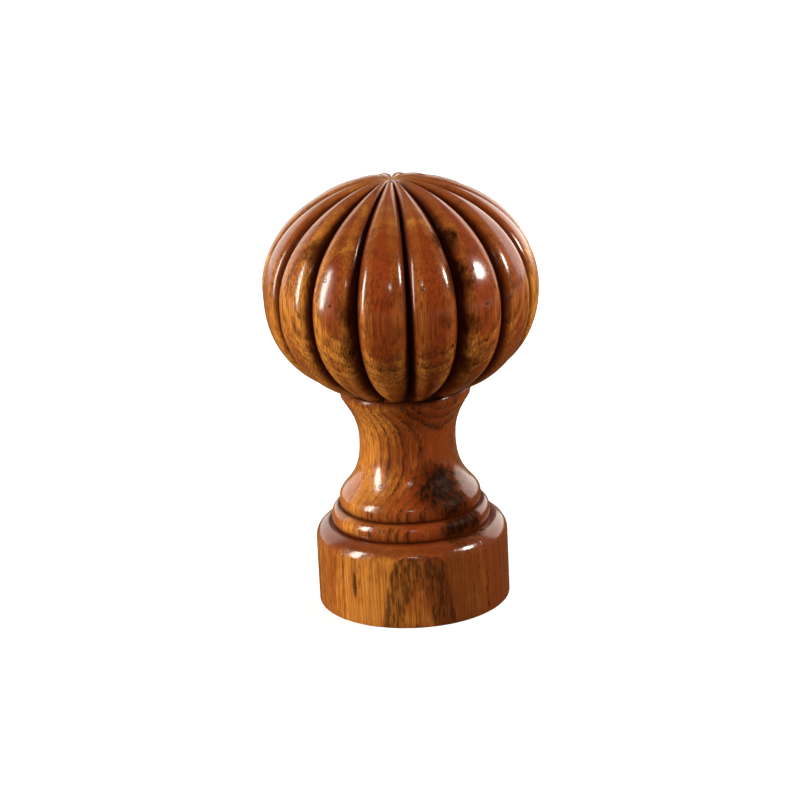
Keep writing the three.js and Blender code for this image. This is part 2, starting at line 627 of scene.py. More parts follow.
DRUM_RINGS = (
    Ring(21.0, 0.40, 1.6, 0.50),
    Ring(24.6, 0.50, 1.5, 0.60),
    Ring(28.2, 0.40, 1.6, 0.35),
    Ring(31.8, 0.75, 1.2, 0.12),
    Ring(34.6, 0.30, 1.2, 0.12),
    Ring(36.3, 0.50, 1.2, 0.06),
    Ring(38.3, 0.25, 1.3, 0.04),
    Ring(41.0, 0.70, 0.6, 0.20, 1.5),
    Ring(43.1, 0.50, 1.5, 0.20),
)
NECK_RINGS = (
    Ring(1.5, 0.30, 1.5, 0.05),
    Ring(5.0, 0.40, 1.5, 0.08),
    Ring(8.3, 0.55, 1.5, 0.12),
    Ring(11.5, 0.85, 1.5, 0.18),
    Ring(14.0, 0.50, 1.2, 0.28),
    Ring(16.0, 0.90, 1.6, 0.42),
    Ring(19.1, 0.65, 1.5, 0.60),
    Ring(22.3, 0.95, 1.7, 0.55),
    Ring(24.6, 0.90, 1.6, 0.60),
    Ring(27.6, 0.85, 1.8, 0.60),
)
BALL_RINGS = (
    Ring(24.0, 0.25, 1.8, 0.42),
    Ring(28.0, 0.30, 1.8, 0.54),
    Ring(32.0, 0.30, 1.8, 0.40),
    Ring(35.8, 0.50, 1.8, 0.36),
    Ring(39.2, 0.60, 1.6, 0.18),
    Ring(42.2, 0.60, 1.8, 0.32),
    Ring(45.3, 0.65, 1.6, 0.14),
    Ring(48.6, 0.65, 1.8, 0.34),
    Ring(52.0, 0.45, 2.2, 0.80),
    Ring(56.4, 0.25, 2.0, 0.80),
)


@dataclass(frozen=True)
class Lumps:
    """Noise through the wood: how many millimetres its lumps measure each way.

    detail is the number of its finer layers, and rough is how strong they are.
    """

    size: tuple[float, float, float]
    detail: float = 1.0
    rough: float = 0.5


@dataclass(frozen=True)
class OakFinish:
    """The stained and varnished oak. Colours are linear, and lengths are in millimetres.

    A Rise holds where a smooth rise starts, where it ends and its top if that isn't 1, and a
    share is how far something tells on the colour or the gloss.
    """

    golden: Colour = (0.62, 0.235, 0.0370)
    amber: Colour = (0.37, 0.106, 0.0170)
    russet: Colour = (0.275, 0.048, 0.0087)
    ring_brown: Colour = (0.075, 0.0190, 0.0040)
    fibre_red: Colour = (0.125, 0.0230, 0.0048)
    # Brown of the wood's clouds, also used for painted shade on the shoulder, the lower right and
    # up-facing surfaces.
    cloud_and_shade_brown: Colour = (0.115, 0.0250, 0.0050)
    pore_brown: Colour = (0.030, 0.0075, 0.0018)
    stain_black: Colour = (0.014, 0.0040, 0.0012)
    # Painted shade: the brown that darkens the grooves and inner corners, where shade falls.
    groove_shade_brown: Colour = (0.0700, 0.0120, 0.0026)
    # Tan of the pole's wear, partly a painted sheen where the pole catches light.
    wear_and_sheen_tan: Colour = (0.46, 0.24, 0.095)
    varnish_roughness: float = 0.16
    varnish_index: float = 1.43
    wood_roughness: float = 0.42
    pore_roughness: float = 0.60
    wood_shine: float = 0.02
    dull_stain: Rise = (0.2, 0.6)
    dull_hollow_share: float = 0.8
    line_rise: float = 0.35
    rings_before: float = 1.0
    rings_beyond: float = 3.0
    back_ring_spacing: float = 3.4
    back_ring_drift: float = 0.5
    back_line_least: float = 0.2
    back_line_spread: float = 0.4
    back_line_fade: Rise = (0.03, 0.3)
    back_tone: float = 0.32
    drift: Lumps = Lumps((30.0, 30.0, 70.0), 1.0, 0.4)
    drift_reach: tuple[float, float, float] = (2.4, 2.4, 0.0)
    ripple: Lumps = Lumps((3.0, 3.0, 8.0), 3.0, 0.6)
    neck_heights: Rise = (35.0, 38.0)
    ball_heights: Rise = (95.0, 101.0)
    across_grain: Rise = (0.4, 0.95, 0.7)
    coarse_pores: Lumps = Lumps((1.1, 1.1, 6.5), 1.5, 0.55)
    coarse_rise: Rise = (0.64, 0.74)
    coarse_line_share: float = 0.30
    coarse_start: float = -0.04
    fine_pores: Lumps = Lumps((0.40, 0.40, 3.2))
    fine_rise: Rise = (0.64, 0.80, 0.7)
    fine_line_share: float = 0.20
    end_grain_pores: float = 0.2
    pore_share: float = 0.66
    broad: Lumps = Lumps((16.0, 16.0, 36.0), 2.0)
    broad_swing: float = 1.2
    mottle: Lumps = Lumps((3.2, 3.2, 7.0), 3.0, 0.6)
    mottle_swing: float = 0.8
    fibre: Lumps = Lumps((0.7, 0.7, 16.0), 2.0, 0.6)
    fibre_swing: float = 1.2
    right_tone: Rise = (-34.0, 24.0, 0.34)
    # Painted shade: the far right turns more russet.
    far_right_shade_tone: Rise = (30.0, 42.0, 0.35)
    # Painted light: the reeds at the far right turn golden where light from the right falls.
    lit_rim_tone: Rise = (47.0, 56.0, 1.2)
    # The top turns russet, partly as the wood's tone and partly as painted shade.
    top_tone_and_shade: Rise = (140.0, 175.0, 0.42)
    # How far painted shade on the base's shoulder turns the tone russet.
    shoulder_shade_tone: float = 0.45
    edge_tone: float = 0.36
    amber_rise: Rise = (0.0, 0.5)
    russet_rise: Rise = (0.4, 0.95)
    cloud: Lumps = Lumps((7.0, 7.0, 9.0), 4.0, 0.65)
    cloud_rise: Rise = (0.50, 0.70, 0.58)
    cloud_heights: Rise = (108.0, 132.0)
    aloft_heights: Rise = (60.0, 105.0)
    # Painted shade: the lower right side, neck and base, is clouded darker.
    right_side_shade: Rise = (0.0, 18.0, 0.72)
    # How far painted shade on the base's shoulder clouds the colour.
    shoulder_shade_cloud: float = 0.55
    streak: Lumps = Lumps((0.65, 0.65, 45.0))
    streak_rise: Rise = (0.46, 0.64, 0.66)
    low_streak_share: float = 0.65
    # Painted shade on surfaces that face up.
    upward_shade_rise: Rise = (0.3, 0.95, 0.3)
    line_share: float = 0.55
    speckle: Lumps = Lumps((2.0, 2.0, 4.5), 4.0, 0.65)
    speckle_rise: Rise = (0.36, 0.56, 0.32)
    ragged: Lumps = Lumps((3.4, 3.4, 6.0), 4.0, 0.7)
    ragged_reach: tuple[float, float, float] = (13.0, 13.0, 16.0)
    stain_edge: tuple[float, float] = (0.4, 1.1)
    wobble: Lumps = Lumps((1.2, 1.2, 1.2), 2.0, 0.6)
    mark_edge: tuple[float, float] = (0.6, 1.25)
    # How strongly the pole's wear and painted sheen tell on the colour.
    wear_and_sheen_share: float = 0.6
    # How strongly painted shade darkens the grooves and inner corners.
    hollow_share: float = 0.94
    mark_share: float = 0.85
    wave: Lumps = Lumps((8.0, 8.0, 18.0))
    wave_height: float = 0.06
    pore_dent: float = 0.02
    mark_dent: float = 0.25
    drum: GrainZone = GrainZone(-1.8, -0.04, 18.0, DRUM_RINGS, 1.0)
    neck: GrainZone = GrainZone(35.2, 0.0, 72.0, NECK_RINGS, 1.8)
    ball: GrainZone = GrainZone(-0.8, 0.268, 143.0, BALL_RINGS, 2.1)
    stains: tuple[Stain, ...] = (
        Stain(26.0, 56.0, 24.0, 14.0, 1.0),
        Stain(37.0, 47.0, 31.0, 12.0, 1.0),
        Stain(31.0, 40.0, 34.5, 9.0, 1.0),
        Stain(45.0, 42.0, 34.0, 10.0, 1.0),
        Stain(24.0, 157.0, 52.5, 9.5, 1.0),
        Stain(22.0, 171.0, 44.0, 8.5, 1.0),
        Stain(25.5, 140.0, 57.0, 6.5, 0.8),
        Stain(27.0, 119.0, 54.0, 7.0, 0.7),
        Stain(-25.5, 146.0, 58.0, 6.0, 0.7),
        Stain(-26.0, 130.0, 57.0, 6.0, 0.7),
        Stain(-9.0, 151.0, 59.5, 5.0, 0.35),
        Stain(-9.0, 122.0, 56.0, 6.0, 0.40),
        Stain(14.0, 142.0, 59.5, 4.5, 0.40),
        Stain(-48.0, 168.0, 50.0, 7.0, 0.60),
    )
    blemishes: tuple[Blemish, ...] = (
        Blemish(-34.3, 58.1, 24.7, 0.75),
        Blemish(17.9, 130.0, 57.8, 1.0),
        Blemish(-36.0, 159.0, 56.4, 0.8),
        Blemish(-32.1, 149.2, 59.5, 0.7),
        Blemish(6.3, 156.1, 57.6, 0.9),
        Blemish(-34.0, 32.1, 41.9, 0.5),
        Blemish(33.8, 145.6, 60.0, 0.7),
        Blemish(34.0, 129.6, 58.6, 0.6),
        Blemish(-40.3, 18.0, 42.6, 1.1, 6.0),
        Blemish(-36.2, 46.5, 31.3, 0.5, 4.0),
    )


class NodeSheet:
    """A node tree with short calls for the few kinds of node that the finish needs."""

    def __init__(self, tree: bpy.types.NodeTree) -> None:
        """Takes a node tree to add to."""
        self.tree = tree

    def feed(self, target: Socket, value: Socket | float | tuple) -> None:
        """Links a socket to the target, or sets the target's own value.

        Args:
            target: An input of a node.
            value: An output of a node, or a plain value.
        """
        if isinstance(value, Socket):
            self.tree.links.new(value, target)
        else:
            target.default_value = value

    def node(self, kind: str, **settings: object) -> bpy.types.Node:
        """Adds a node.

        Args:
            kind: Blender's name for the kind of node.
            **settings: The node's own settings by name.

        Returns:
            The new node.
        """
        made = self.tree.nodes.new(kind)
        for name, value in settings.items():
            setattr(made, name, value)
        return made

    def math(self, operation: str, *values: Socket | float, clamp: bool = False) -> Socket:
        """Adds a Math node.

        Args:
            operation: What it does.
            *values: Its inputs in order.
            clamp: Whether the result is kept between 0 and 1.

        Returns:
            The result.
        """
        made = self.node("ShaderNodeMath", operation=operation, use_clamp=clamp)
        for target, value in zip(made.inputs, values):
            self.feed(target, value)
        return made.outputs[0]

    def vector(self, operation: str, *values: Socket | tuple) -> Socket:
        """Adds a Vector Math node and returns its vector."""
        return self.vector_math(operation, values)[0]

    def measure(self, operation: str, *values: Socket | tuple) -> Socket:
        """Adds a Vector Math node and returns its number, such as a length."""
        return self.vector_math(operation, values)[1]

    def vector_math(self, operation: str, values: tuple) -> bpy.types.NodeOutputs:
        """Adds a Vector Math node.

        Args:
            operation: What it does.
            values: Its inputs in order.

        Returns:
            Its two outputs, a vector and a number.
        """
        made = self.node("ShaderNodeVectorMath", operation=operation)
        for target, value in zip(made.inputs, values):
            self.feed(target, value)
        return made.outputs

    def step(self, value: Socket, low: float, high: float, top: float = 1.0) -> Socket:
        """A smooth rise between two values.

        Args:
            value: What is looked up.
            low: Up to here the result is 0.
            high: From here on the result is top.
            top: The highest result.

        Returns:
            The result.
        """
        made = self.node("ShaderNodeMapRange", interpolation_type="SMOOTHSTEP")
        self.feed(made.inputs["Value"], value)
        self.feed(made.inputs["From Min"], low)
        self.feed(made.inputs["From Max"], high)
        self.feed(made.inputs["To Max"], top)
        return made.outputs[0]

    def noise(self, place: Socket, lumps: Lumps) -> Socket:
        """Returns a number that varies around 0.5 from lump to lump."""
        return self.noise_node(place, lumps).outputs[0]

    def sway(self, place: Socket, lumps: Lumps) -> Socket:
        """Returns a vector that varies around nothing from lump to lump."""
        varied = self.noise_node(place, lumps).outputs["Color"]
        return self.vector("SUBTRACT", varied, (0.5, 0.5, 0.5))

    def noise_node(self, place: Socket, lumps: Lumps) -> bpy.types.Node:
        """Adds a Noise Texture in three dimensions.

        Args:
            place: The place in millimetres.
            lumps: The sizes of its lumps and its finer layers.

        Returns:
            The node, for its number or its colour.
        """
        made = self.node("ShaderNodeTexNoise", noise_dimensions="3D")
        self.feed(made.inputs["Vector"], self.vector("DIVIDE", place, lumps.size))
        self.feed(made.inputs["Scale"], 1.0)
        self.feed(made.inputs["Detail"], lumps.detail)
        self.feed(made.inputs["Roughness"], lumps.rough)
        return made

    def swing(self, place: Socket, lumps: Lumps, reach: float) -> Socket:
        """Returns a number that varies from lump to lump by about half the reach each way."""
        return self.math("MULTIPLY_ADD", self.noise(place, lumps), reach, -reach / 2)

    def blend(self, share: Socket | float, low: Socket | float, high: Socket | float) -> Socket:
        """Mixes two numbers.

        Args:
            share: How much of the second, from 0 to 1.
            low: The number at share 0.
            high: The number at share 1.

        Returns:
            The mixed number.
        """
        made = self.node("ShaderNodeMix", data_type="FLOAT")
        self.feed(made.inputs[0], share)
        self.feed(made.inputs[2], low)
        self.feed(made.inputs[3], high)
        return made.outputs[0]

    def tint(self, share: Socket | float, below: Socket | tuple, above: Socket | tuple) -> Socket:
        """Mixes two colours.

        Args:
            share: How much of the second, from 0 to 1.
            below: The colour at share 0.
            above: The colour at share 1.

        Returns:
            The mixed colour.
        """
        made = self.node("ShaderNodeMix", data_type="RGBA")
        self.feed(made.inputs[0], share)
        for target, value in ((made.inputs[6], below), (made.inputs[7], above)):
            self.feed(target, (*value, 1.0) if isinstance(value, tuple) else value)
        return made.outputs[2]

    def ramp(self, value: Socket, stops: list[tuple[float, tuple[float, float]]]) -> Socket:
        """A colour that runs straight from stop to stop.

        Args:
            value: What is looked up, from 0 to 1.
            stops: Places with the red and green of the colour there, in rising order.

        Returns:
            The colour.
        """
        made = self.node("ShaderNodeValToRGB")
        elements = made.color_ramp.elements
        elements.remove(elements[1])
        elements[0].position = stops[0][0]
        for place, _ in stops[1:]:
            elements.new(place)
        for element, (_, (red, green)) in zip(elements, stops):
            element.color = (red, green, 0.0, 1.0)
        self.feed(made.inputs[0], value)
        return made.outputs[0]

    def split(self, value: Socket) -> bpy.types.NodeOutputs:
        """Takes a vector or colour apart.

        Args:
            value: The vector or colour.

        Returns:
            Its three numbers, named X, Y and Z.
        """
        made = self.node("ShaderNodeSeparateXYZ")
        self.feed(made.inputs[0], value)
        return made.outputs

    def attribute(self, name: str) -> Socket:
        """Returns the number kept in the mesh under that name."""
        made = self.node("ShaderNodeAttribute", attribute_name=name, attribute_type="GEOMETRY")
        return made.outputs["Fac"]


@dataclass
class VarnishedOak:
    """Builds the material: rings, pores and stain in the wood, painted shade and light, and varnish.
    """

    finish: OakFinish

    def material(self) -> bpy.types.Material:
        """Makes the material.

        Returns:
            The material, with the colour, gloss and relief of the oak under its varnish.
        """
        finish = self.finish
        made = bpy.data.materials.new(SLOT)
        made.use_nodes = True
        made.node_tree.nodes.clear()
        sheet = NodeSheet(made.node_tree)
        coordinates = sheet.node("ShaderNodeTexCoord").outputs["Object"]
        place = sheet.vector("MULTIPLY", coordinates, (MM_PER_METRE,) * 3)
        line, body = self.rings(sheet, place)
        line = sheet.math("MULTIPLY", line, self.lengthwise(sheet))
        pores = self.pores(sheet, place, line)
        marks = self.marks(sheet, place)
        stain = self.stained(sheet, place)
        wood = self.wood(sheet, place, line, body)
        colour = self.aged(sheet, place, wood, pores, stain, marks)
        shader = sheet.node("ShaderNodeBsdfPrincipled")
        sheet.feed(shader.inputs["Base Color"], colour)
        rough = sheet.blend(pores, finish.wood_roughness, finish.pore_roughness)
        sheet.feed(shader.inputs["Roughness"], rough)
        shader.inputs["Specular IOR Level"].default_value = finish.wood_shine
        # The painted groove shade's weight also dulls the varnish in the grooves and corners.
        hollow = sheet.math("MULTIPLY", sheet.attribute("hollow"), finish.dull_hollow_share)
        dull = sheet.math("MAXIMUM", sheet.step(stain, *finish.dull_stain), hollow)
        sheet.feed(shader.inputs["Coat Weight"], sheet.math("SUBTRACT", 1.0, dull))
        shader.inputs["Coat Roughness"].default_value = finish.varnish_roughness
        shader.inputs["Coat IOR"].default_value = finish.varnish_index
        self.relief(sheet, place, pores, marks, shader)
        output = sheet.node("ShaderNodeOutputMaterial")
        sheet.feed(output.inputs["Surface"], shader.outputs[0])
        return made

    def ring_depth(self, sheet: NodeSheet, place: Socket, zone: GrainZone) -> Socket:
        """Distance from a zone's pith less the pith distance: a depth along the way it faces.

        Args:
            sheet: The material's nodes.
            place: The place in millimetres.
            zone: The stretch of the height whose rings are wanted.

        Returns:
            The depth in millimetres, larger towards the side that the zone faces.
        """
        turn = math.radians(zone.facing_deg)
        facing = (math.sin(turn), -math.cos(turn), 0.0)
        start = zone.pith_distance - zone.lean * zone.middle_height
        reach = sheet.math("MULTIPLY_ADD", sheet.split(place)["Z"], zone.lean, start)
        shift = sheet.node("ShaderNodeVectorMath", operation="SCALE")
        shift.inputs[0].default_value = facing
        sheet.feed(shift.inputs["Scale"], reach)
        moved = sheet.vector("ADD", place, shift.outputs[0])
        flat = sheet.vector("MULTIPLY", moved, (1.0, 1.0, 0.0))
        return sheet.math("SUBTRACT", sheet.measure("LENGTH", flat), zone.pith_distance)

    def zone_rings(self, sheet: NodeSheet, depth: Socket, zone: GrainZone) -> Socket:
        """A zone's rings as a colour: red is the dark line and green the tone of the body.

        The line rises over the line rise up to where the ring starts, keeps its darkness over its
        hold and runs out over its fade, and the body's tone changes with it.

        Args:
            sheet: The material's nodes.
            depth: The depth in millimetres.
            zone: The stretch of the height whose rings are wanted.

        Returns:
            The colour.
        """
        low = zone.rings[0].start - self.finish.rings_before
        span = zone.rings[-1].start + self.finish.rings_beyond - low
        rise = self.finish.line_rise / span
        stops = [(0.0, (0.0, zone.rings[0].body))]
        body = zone.rings[0].body
        for ring in zone.rings:
            place = (ring.start - low) / span
            stops.append((place - rise, (0.0, body)))
            stops.append((place, (ring.line, (body + ring.body) / 2)))
            if ring.hold > 0:
                place += ring.hold / span
                stops.append((place, (ring.line, ring.body)))
            stops.append((place + ring.fade / span, (0.0, ring.body)))
            body = ring.body
        value = sheet.math("DIVIDE", sheet.math("SUBTRACT", depth, low), span, clamp=True)
        seen = sheet.ramp(value, stops)
        inside = sheet.math("GREATER_THAN", depth, low)
        return sheet.tint(inside, self.back_rings(sheet, depth), seen)

    def back_rings(self, sheet: NodeSheet, depth: Socket) -> Socket:
        """Rings of random strength, about evenly spaced, for the sides and the back.

        Args:
            sheet: The material's nodes.
            depth: The depth in millimetres.

        Returns:
            A colour as for a zone's rings.
        """
        finish = self.finish
        count = sheet.math("DIVIDE", depth, finish.back_ring_spacing)
        along = sheet.node("ShaderNodeTexNoise", noise_dimensions="1D")
        sheet.feed(along.inputs["W"], sheet.math("MULTIPLY", count, finish.back_ring_drift))
        along.inputs["Scale"].default_value = 1.0
        uneven = sheet.math("ADD", count, along.outputs[0])
        chance = sheet.node("ShaderNodeTexWhiteNoise", noise_dimensions="1D")
        sheet.feed(chance.inputs["W"], sheet.math("FLOOR", uneven))
        strength = sheet.math(
            "MULTIPLY_ADD", chance.outputs["Value"], finish.back_line_spread, finish.back_line_least
        )
        within = sheet.math("FRACT", uneven)
        early = sheet.math("SUBTRACT", 1.0, sheet.step(within, *finish.back_line_fade))
        joined = sheet.node("ShaderNodeCombineXYZ")
        sheet.feed(joined.inputs[0], sheet.math("MULTIPLY", early, strength))
        joined.inputs[1].default_value = finish.back_tone
        return joined.outputs[0]

    def rings(self, sheet: NodeSheet, place: Socket) -> tuple[Socket, Socket]:
        """The growth rings of all zones, which waver a little and run into each other.

        Args:
            sheet: The material's nodes.
            place: The place in millimetres.

        Returns:
            How dark the porous lines are, and the tone of the dense wood between them.
        """
        finish = self.finish
        drift = sheet.vector("MULTIPLY", sheet.sway(place, finish.drift), finish.drift_reach)
        ripple = sheet.sway(place, finish.ripple)
        wavy = sheet.vector("ADD", place, drift)
        height = sheet.split(place)["Z"]
        layers = []
        for zone in (finish.drum, finish.neck, finish.ball):
            spread = (zone.ripple, zone.ripple, 0.0)
            moved = sheet.vector("ADD", wavy, sheet.vector("MULTIPLY", ripple, spread))
            layers.append(self.zone_rings(sheet, self.ring_depth(sheet, moved, zone), zone))
        drum, neck, ball = layers
        mixed = sheet.tint(sheet.step(height, *finish.neck_heights), drum, neck)
        mixed = sheet.tint(sheet.step(height, *finish.ball_heights), mixed, ball)
        parts = sheet.split(mixed)
        return parts["X"], parts["Y"]

    def facing_up(self, sheet: NodeSheet) -> Socket:
        """Returns the upward part of the surface's normal, 1 where it lies level."""
        return sheet.split(sheet.node("ShaderNodeNewGeometry").outputs["Normal"])["Z"]

    def lengthwise(self, sheet: NodeSheet) -> Socket:
        """Returns 1 where the surface runs along the grain, and less where it cuts across it."""
        level = sheet.math("ABSOLUTE", self.facing_up(sheet))
        return sheet.math("SUBTRACT", 1.0, sheet.step(level, *self.finish.across_grain))

    def pores(self, sheet: NodeSheet, place: Socket, line: Socket) -> Socket:
        """The open pores: short upright dashes, thickest where a ring starts.

        Args:
            sheet: The material's nodes.
            place: The place in millimetres.
            line: How dark the growth rings' lines are.

        Returns:
            1 in a pore and 0 beside it.
        """
        finish = self.finish
        coarse = sheet.noise(place, finish.coarse_pores)
        fine = sheet.noise(place, finish.fine_pores)
        gathered = sheet.math("MULTIPLY_ADD", line, finish.coarse_line_share, finish.coarse_start)
        coarse = sheet.step(sheet.math("ADD", coarse, gathered), *finish.coarse_rise)
        gathered = sheet.math("MULTIPLY", line, finish.fine_line_share)
        fine = sheet.step(sheet.math("ADD", fine, gathered), *finish.fine_rise)
        shown = sheet.blend(self.lengthwise(sheet), finish.end_grain_pores, 1.0)
        return sheet.math("MULTIPLY", sheet.math("MAXIMUM", coarse, fine), shown)

    def marks(self, sheet: NodeSheet, place: Socket) -> Socket:
        """The small dark marks and dents.

        Args:
            sheet: The material's nodes.
            place: The place in millimetres.

        Returns:
            1 inside a mark and 0 beside it.
        """
        rough = sheet.vector("ADD", place, sheet.sway(place, self.finish.wobble))
        inner, outer = self.finish.mark_edge
        total: Socket | float = 0.0
        for mark in self.finish.blemishes:
            away = sheet.vector("SUBTRACT", rough, mark.centre())
            away = sheet.vector("DIVIDE", away, (1.0, 1.0, mark.stretch))
            distance = sheet.measure("LENGTH", away)
            edge = sheet.step(distance, mark.size * inner, mark.size * outer)
            total = sheet.math("MAXIMUM", sheet.math("SUBTRACT", 1.0, edge), total)
        return total

    def stained(self, sheet: NodeSheet, place: Socket) -> Socket:
        """The large dark blotches, with ragged edges.

        Args:
            sheet: The material's nodes.
            place: The place in millimetres.

        Returns:
            A blotch's strength inside it, and 0 beside it.
        """
        finish = self.finish
        ragged = sheet.vector("MULTIPLY", sheet.sway(place, finish.ragged), finish.ragged_reach)
        moved = sheet.vector("ADD", place, ragged)
        inner, outer = finish.stain_edge
        total: Socket | float = 0.0
        for stain in finish.stains:
            away = sheet.measure("LENGTH", sheet.vector("SUBTRACT", moved, stain.centre()))
            fade = sheet.step(away, stain.size * inner, stain.size * outer, stain.strength)
            inside = sheet.math("SUBTRACT", stain.strength, fade)
            total = sheet.math("MAXIMUM", inside, total)
        return total

    def wood(self, sheet: NodeSheet, place: Socket, line: Socket, body: Socket) -> Socket:
        """The wood's colour: golden to russet by tone, with clouds, fibres, ring lines and painted
        shade.

        Args:
            sheet: The material's nodes.
            place: The place in millimetres.
            line: How dark the growth rings' lines are.
            body: Tone of the wood between them, 0 golden and 1 russet.

        Returns:
            The colour.
        """
        finish = self.finish
        across = sheet.split(place)["X"]
        height = sheet.split(place)["Z"]
        shoulder_shade = sheet.attribute("shoulder_shade")
        lengthwise = self.lengthwise(sheet)
        tone = self.tone(sheet, place, body)
        made = sheet.tint(sheet.step(tone, *finish.amber_rise), finish.golden, finish.amber)
        made = sheet.tint(sheet.step(tone, *finish.russet_rise), made, finish.russet)
        aloft = sheet.step(height, *finish.aloft_heights)
        cloud = sheet.step(sheet.noise(place, finish.cloud), *finish.cloud_rise)
        cloud = sheet.math("MULTIPLY", cloud, sheet.step(height, *finish.cloud_heights))
        # Painted shade on the lower right side, below the ball.
        right = sheet.step(across, *finish.right_side_shade)
        right = sheet.math("MULTIPLY", right, sheet.math("SUBTRACT", 1.0, aloft))
        cloud = sheet.math("MAXIMUM", cloud, right)
        # Painted shade on the base's shoulder clouds the colour.
        cloud = sheet.math("MAXIMUM", cloud, sheet.math("MULTIPLY", shoulder_shade, finish.shoulder_shade_cloud))
        # The cloud weight here also carries painted shade on the lower right and the shoulder.
        made = sheet.tint(cloud, made, finish.cloud_and_shade_brown)
        streak = sheet.step(sheet.noise(place, finish.streak), *finish.streak_rise)
        shown = sheet.blend(aloft, finish.low_streak_share, 1.0)
        streak = sheet.math("MULTIPLY", streak, shown)
        streak = sheet.math("MULTIPLY", streak, lengthwise)
        made = sheet.tint(streak, made, finish.fibre_red)
        # Painted shade: surfaces that face up are darkened towards brown.
        upward_shade = sheet.step(self.facing_up(sheet), *finish.upward_shade_rise)
        made = sheet.tint(upward_shade, made, finish.cloud_and_shade_brown)
        line = sheet.math("MULTIPLY", line, finish.line_share)
        return sheet.tint(line, made, finish.ring_brown)

    def tone(self, sheet: NodeSheet, place: Socket, body: Socket) -> Socket:
        """How far the wood goes from golden to russet.

        It is the tone of the growth ring, more towards the right, more on the far right, the base's
        shoulder and the top as painted shade (at the top partly the wood's own tone), and less on
        the far right rim as painted light and on the reeds' edges, with broad and small lumps and
        fibres.

        Args:
            sheet: The material's nodes.
            place: The place in millimetres.
            body: Tone of the wood between the rings' lines.

        Returns:
            0 where it is golden and 1 where it is russet.
        """
        finish = self.finish
        across = sheet.split(place)["X"]
        height = sheet.split(place)["Z"]
        tone = sheet.math("ADD", body, sheet.step(across, *finish.right_tone))
        # Painted shade: the far right turns more russet.
        tone = sheet.math("ADD", tone, sheet.step(across, *finish.far_right_shade_tone))
        # Painted light: the far right rim turns golden.
        tone = sheet.math("SUBTRACT", tone, sheet.step(across, *finish.lit_rim_tone))
        # Painted shade on the base's shoulder turns the tone russet.
        shoulder_shade = sheet.math("MULTIPLY", sheet.attribute("shoulder_shade"), finish.shoulder_shade_tone)
        fibre = sheet.swing(place, finish.fibre, finish.fibre_swing)
        for part in (
            shoulder_shade,
            # The top: partly the wood's tone, partly painted shade.
            sheet.step(height, *finish.top_tone_and_shade),
            sheet.swing(place, finish.broad, finish.broad_swing),
            sheet.swing(place, finish.mottle, finish.mottle_swing),
        ):
            tone = sheet.math("ADD", tone, part)
        fibre = sheet.math("MULTIPLY", fibre, self.lengthwise(sheet))
        tone = sheet.math("ADD", tone, fibre, clamp=True)
        edge = sheet.math("MULTIPLY", sheet.attribute("edge"), finish.edge_tone)
        return sheet.math("SUBTRACT", tone, edge, clamp=True)

    def aged(
        self,
        sheet: NodeSheet,
        place: Socket,
        wood: Socket,
        pores: Socket,
        stain: Socket,
        marks: Socket,
    ) -> Socket:
        """Adds what age and stain did to the wood, and painted shade and sheen.

        Args:
            sheet: The material's nodes.
            place: The place in millimetres.
            wood: The bare wood's colour.
            pores: 1 in the open pores.
            stain: How far the place lies inside a blotch.
            marks: 1 inside a small mark.

        Returns:
            The colour with pores, speckled blotches, a worn pole with a painted sheen, painted
            shade in the grooves and inner corners, and marks.
        """
        finish = self.finish
        speckle = sheet.step(sheet.noise(place, finish.speckle), *finish.speckle_rise)
        speckle = sheet.math("ADD", speckle, 1.0 - finish.speckle_rise[2])
        made = wood
        for share, strength, colour in (
            (pores, finish.pore_share, finish.pore_brown),
            (stain, speckle, finish.stain_black),
            # Wear and painted sheen round the pole.
            (sheet.attribute("wear_and_sheen"), finish.wear_and_sheen_share, finish.wear_and_sheen_tan),
            # Painted shade in the grooves and inner corners.
            (sheet.attribute("hollow"), finish.hollow_share, finish.groove_shade_brown),
            (marks, finish.mark_share, finish.pore_brown),
        ):
            made = sheet.tint(sheet.math("MULTIPLY", share, strength), made, colour)
        return made

    def relief(
        self, sheet: NodeSheet, place: Socket, pores: Socket, marks: Socket, shader: bpy.types.Node
    ) -> None:
        """Dents the varnish over pores and marks, and lets the sanded surface wave a little.

        Args:
            sheet: The material's nodes.
            place: The place in millimetres.
            pores: 1 in the open pores.
            marks: 1 inside a small mark.
            shader: The node whose normals are fed.
        """
        finish = self.finish
        height = sheet.math("MULTIPLY", sheet.noise(place, finish.wave), finish.wave_height)
        for dent, depth in ((pores, finish.pore_dent), (marks, finish.mark_dent)):
            height = sheet.math("SUBTRACT", height, sheet.math("MULTIPLY", dent, depth))
        bump = sheet.node("ShaderNodeBump")
        bump.inputs["Strength"].default_value = 1.0
        bump.inputs["Distance"].default_value = METRES_PER_MM
        sheet.feed(bump.inputs["Height"], height)
        sheet.feed(shader.inputs["Normal"], bump.outputs[0])
        sheet.feed(shader.inputs["Coat Normal"], bump.outputs[0])


